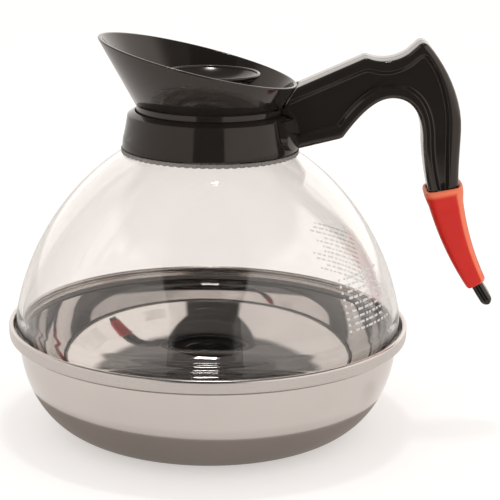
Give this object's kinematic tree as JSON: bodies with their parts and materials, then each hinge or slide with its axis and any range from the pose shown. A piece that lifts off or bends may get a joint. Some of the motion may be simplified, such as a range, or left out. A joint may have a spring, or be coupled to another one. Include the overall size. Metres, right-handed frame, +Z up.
{
  "type": "coffee decanter",
  "caption": "Round coffee decanter with a clear dome on a stainless base bowl, black collar, pouring funnel, lift-out lid and hooked handle with a coloured grip sleeve.",
  "frame": {"origin": "centre of the flat bottom of the base bowl, on the surface that the decanter stands on", "axes": "+Z up along the bowl's axis, +X from the axis towards the handle, -X towards the pouring lip"},
  "size_m": [0.215, 0.178, 0.1747],
  "materials": {
    "bowl_steel": "satin outside, polished inside",
    "hoop_steel": "satin",
    "clear_dome": "clear polished",
    "black_plastic": "high gloss",
    "orange_rubber": "soft satin",
    "grey_silicone": "translucent satin",
    "black_silicone": "satin",
    "fastener_steel": "plain"
  },
  "bodies": {
    "vessel": {"base_bowl": "bowl_steel", "base_seal": "grey_silicone", "rim_hoop": "hoop_steel", "dome": "clear_dome", "neck_seal": "grey_silicone", "neck_clip": "fastener_steel", "collar": "black_plastic", "funnel_seal": "black_silicone", "funnel": "black_plastic", "handle": "black_plastic", "handle_screw_left": "fastener_steel", "handle_screw_right": "fastener_steel", "handle_screw_top": "fastener_steel"},
    "lid": {"lid_cap": "black_plastic", "lid_spider": "black_plastic"},
    "sleeve": {"grip_sleeve": "orange_rubber"}
  },
  "joints": [
    {"name": "lid_lift", "type": "slide", "parent": "vessel", "child": "lid", "axis": [0, 0, 1], "range_m": [0, 0.045]},
    {"name": "sleeve_pull", "type": "hinge", "parent": "vessel", "child": "sleeve", "pos_m": [0.23475, 0, 0.1373], "axis": [0, -1, 0], "range_deg": [0, 25]}
  ]
}
